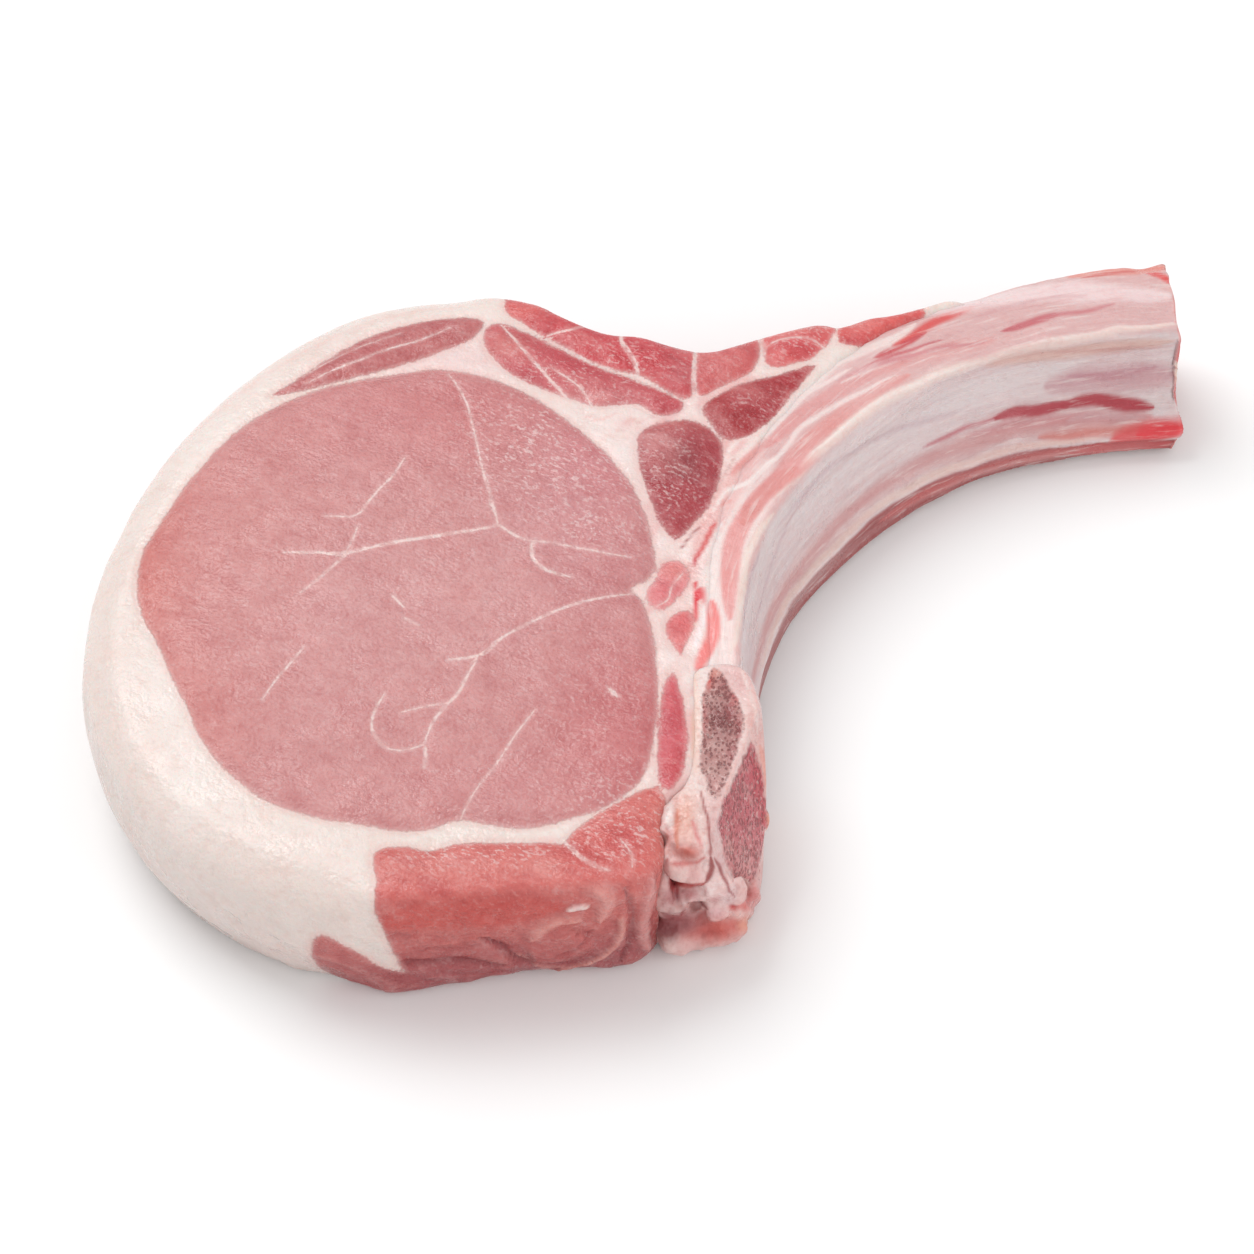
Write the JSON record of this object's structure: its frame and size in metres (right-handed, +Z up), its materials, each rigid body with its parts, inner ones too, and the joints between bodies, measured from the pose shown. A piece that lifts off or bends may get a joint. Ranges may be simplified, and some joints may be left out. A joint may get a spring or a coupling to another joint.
{
  "type": "raw pork chop",
  "caption": "Raw bone-in pork rib chop lying flat: round loin muscle, creamy fat cap, and a rib bone sweeping away from the sawn backbone.",
  "frame": {"origin": "on the floor, under the middle of the chop's box", "axes": "+X along the chop towards the sawn end of the rib, the fat cap at -X; +Y from the backbone towards the outer side; +Z up through the thickness"},
  "size_m": [0.1795, 0.1356, 0.0262],
  "materials": {
    "lean": "moist raw lean with white marbling",
    "fat": "creamy white fat, softly waxy",
    "rib": "rib bone under its pale, moist membrane",
    "bone": "sawn backbone, porous and red"
  },
  "bodies": {
    "root": {"loin_meat": "lean", "fat_cap": "fat", "rib_bone": "rib", "chine_bone": "bone"}
  },
  "joints": []
}
